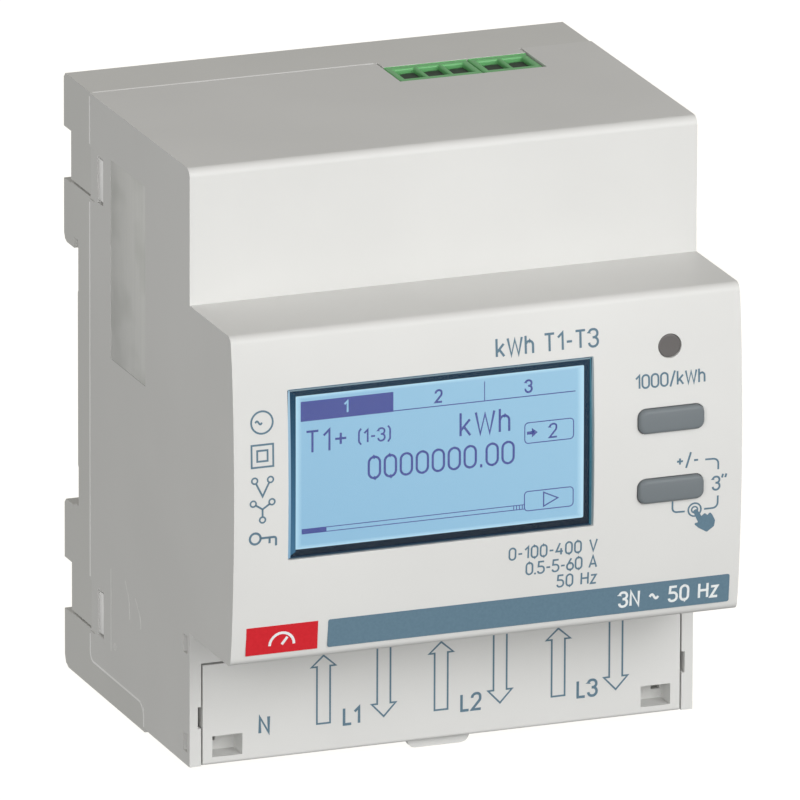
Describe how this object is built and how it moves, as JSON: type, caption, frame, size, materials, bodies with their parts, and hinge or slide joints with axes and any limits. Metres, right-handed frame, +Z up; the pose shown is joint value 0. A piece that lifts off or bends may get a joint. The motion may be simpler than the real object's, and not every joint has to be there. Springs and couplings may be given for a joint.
{
  "type": "rail mounted electricity meter",
  "caption": "Slim box-shaped three-phase electricity meter for a mounting rail, with a raised rounded front, lit display, push buttons and a covered terminal row.",
  "frame": {"origin": "centre of the rail seat in the back of the base", "axes": "+X to the right seen from the front, +Y from the seat towards the rail and the wall, +Z up; the display faces -Y"},
  "size_m": [0.0712, 0.066, 0.0834],
  "materials": {
    "case_plastic": "fine matt spark texture",
    "base_plastic": "fine matt",
    "window_clear": "polished clear polycarbonate",
    "bezel_print": "dark ink behind the window",
    "lcd_glass": "laminated display glass",
    "light_guide": "polished acrylic",
    "white_plastic": "satin",
    "green_laminate": "solder mask over glass laminate",
    "black_plastic": "satin",
    "diffuser": "translucent grey",
    "led_body": "clear epoxy",
    "yellow_tape": "polyester tape",
    "capacitor_sleeve": "heat-shrunk sleeve",
    "nylon": "satin",
    "zinc_steel": "zinc-plated",
    "sensor_plastic": "satin",
    "copper": "rolled copper",
    "block_plastic": "satin",
    "green_plastic": "satin",
    "tinned_brass": "tin-plated",
    "smoked_window": "glossy label film",
    "button_plastic": "satin grey",
    "cap_plastic": "satin",
    "clip_plastic": "satin",
    "spring_steel": "drawn wire",
    "cage_steel": "yellow zinc-plated"
  },
  "bodies": {
    "meter_body": {"rear_base": "base_plastic", "main_case": "case_plastic", "display_window": "window_clear", "display_bezel": "bezel_print", "lcd_glass": "lcd_glass", "backlight": "light_guide", "lcd_frame": "white_plastic", "display_board": "green_laminate", "display_chips": "black_plastic", "pulse_light_pipe": "diffuser", "pulse_led": "led_body", "tact_switches": "black_plastic", "power_board": "green_laminate", "power_transformer": "yellow_tape", "power_capacitors": "capacitor_sleeve", "metering_board": "green_laminate", "metering_chips": "black_plastic", "board_links": "black_plastic", "board_spacers": "nylon", "board_screws": "zinc_steel", "current_sensor_l1": "sensor_plastic", "current_sensor_l2": "sensor_plastic", "current_sensor_l3": "sensor_plastic", "busbar_l1": "copper", "busbar_l2": "copper", "busbar_l3": "copper", "neutral_strap": "copper", "terminal_block": "block_plastic", "signal_header_3way": "green_plastic", "signal_header_2way": "green_plastic", "header_pins": "tinned_brass", "side_window": "smoked_window"},
    "button_upper": {"button_upper": "button_plastic", "switch_plunger_upper": "cap_plastic"},
    "button_lower": {"button_lower": "button_plastic", "switch_plunger_lower": "cap_plastic"},
    "rail_clip": {"rail_clip": "clip_plastic", "rail_clip_spring": "spring_steel"},
    "terminal_cover": {"terminal_cover": "case_plastic"},
    "screw_n": {"screw_n": "zinc_steel"},
    "clamp_n": {"clamp_n": "cage_steel"},
    "screw_l1_in": {"screw_l1_in": "zinc_steel"},
    "clamp_l1_in": {"clamp_l1_in": "cage_steel"},
    "screw_l1_out": {"screw_l1_out": "zinc_steel"},
    "clamp_l1_out": {"clamp_l1_out": "cage_steel"},
    "screw_l2_in": {"screw_l2_in": "zinc_steel"},
    "clamp_l2_in": {"clamp_l2_in": "cage_steel"},
    "screw_l2_out": {"screw_l2_out": "zinc_steel"},
    "clamp_l2_out": {"clamp_l2_out": "cage_steel"},
    "screw_l3_in": {"screw_l3_in": "zinc_steel"},
    "clamp_l3_in": {"clamp_l3_in": "cage_steel"},
    "screw_l3_out": {"screw_l3_out": "zinc_steel"},
    "clamp_l3_out": {"clamp_l3_out": "cage_steel"}
  },
  "joints": [
    {"name": "button_upper_press", "type": "slide", "parent": "meter_body", "child": "button_upper", "axis": [0, 1, 0], "range_m": [0, 0.0006], "stiffness_N_per_m": 2000, "springref_m": -0.0005},
    {"name": "button_lower_press", "type": "slide", "parent": "meter_body", "child": "button_lower", "axis": [0, 1, 0], "range_m": [0, 0.0006], "stiffness_N_per_m": 2000, "springref_m": -0.0005},
    {"name": "rail_clip_slide", "type": "slide", "parent": "meter_body", "child": "rail_clip", "axis": [0, 0, -1], "range_m": [0, 0.004], "stiffness_N_per_m": 2000, "springref_m": -0.003, "deforming": ["rail_clip_spring"]},
    {"name": "terminal_cover_pull", "type": "slide", "parent": "meter_body", "child": "terminal_cover", "axis": [0, -1, 0], "range_m": [0, 0.03]},
    {"name": "screw_n_turn", "type": "hinge", "parent": "meter_body", "child": "screw_n", "pos_m": [-0.02475, -0.04, -0.0348], "axis": [0, 1, 0], "range_deg": [0, 2160]},
    {"name": "screw_l1_in_turn", "type": "hinge", "parent": "meter_body", "child": "screw_l1_in", "pos_m": [-0.0165, -0.04, -0.0348], "axis": [0, 1, 0], "range_deg": [0, 2160]},
    {"name": "screw_l1_out_turn", "type": "hinge", "parent": "meter_body", "child": "screw_l1_out", "pos_m": [-0.00825, -0.04, -0.0348], "axis": [0, 1, 0], "range_deg": [0, 2160]},
    {"name": "screw_l2_in_turn", "type": "hinge", "parent": "meter_body", "child": "screw_l2_in", "pos_m": [0, -0.04, -0.0348], "axis": [0, 1, 0], "range_deg": [0, 2160]},
    {"name": "screw_l2_out_turn", "type": "hinge", "parent": "meter_body", "child": "screw_l2_out", "pos_m": [0.00825, -0.04, -0.0348], "axis": [0, 1, 0], "range_deg": [0, 2160]},
    {"name": "screw_l3_in_turn", "type": "hinge", "parent": "meter_body", "child": "screw_l3_in", "pos_m": [0.0165, -0.04, -0.0348], "axis": [0, 1, 0], "range_deg": [0, 2160]},
    {"name": "screw_l3_out_turn", "type": "hinge", "parent": "meter_body", "child": "screw_l3_out", "pos_m": [0.02475, -0.04, -0.0348], "axis": [0, 1, 0], "range_deg": [0, 2160]},
    {"name": "clamp_n_slide", "type": "slide", "parent": "meter_body", "child": "clamp_n", "axis": [0, -1, 0], "range_m": [0, 0.0048]},
    {"name": "clamp_l1_in_slide", "type": "slide", "parent": "meter_body", "child": "clamp_l1_in", "axis": [0, -1, 0], "range_m": [0, 0.0048]},
    {"name": "clamp_l1_out_slide", "type": "slide", "parent": "meter_body", "child": "clamp_l1_out", "axis": [0, -1, 0], "range_m": [0, 0.0048]},
    {"name": "clamp_l2_in_slide", "type": "slide", "parent": "meter_body", "child": "clamp_l2_in", "axis": [0, -1, 0], "range_m": [0, 0.0048]},
    {"name": "clamp_l2_out_slide", "type": "slide", "parent": "meter_body", "child": "clamp_l2_out", "axis": [0, -1, 0], "range_m": [0, 0.0048]},
    {"name": "clamp_l3_in_slide", "type": "slide", "parent": "meter_body", "child": "clamp_l3_in", "axis": [0, -1, 0], "range_m": [0, 0.0048]},
    {"name": "clamp_l3_out_slide", "type": "slide", "parent": "meter_body", "child": "clamp_l3_out", "axis": [0, -1, 0], "range_m": [0, 0.0048]}
  ],
  "couplings": [
    {"joint": "screw_n_turn", "follows": "clamp_n_slide", "rad_per_m": 7853.9},
    {"joint": "screw_l1_in_turn", "follows": "clamp_l1_in_slide", "rad_per_m": 7853.9},
    {"joint": "screw_l1_out_turn", "follows": "clamp_l1_out_slide", "rad_per_m": 7853.9},
    {"joint": "screw_l2_in_turn", "follows": "clamp_l2_in_slide", "rad_per_m": 7853.9},
    {"joint": "screw_l2_out_turn", "follows": "clamp_l2_out_slide", "rad_per_m": 7853.9},
    {"joint": "screw_l3_in_turn", "follows": "clamp_l3_in_slide", "rad_per_m": 7853.9},
    {"joint": "screw_l3_out_turn", "follows": "clamp_l3_out_slide", "rad_per_m": 7853.9}
  ]
}
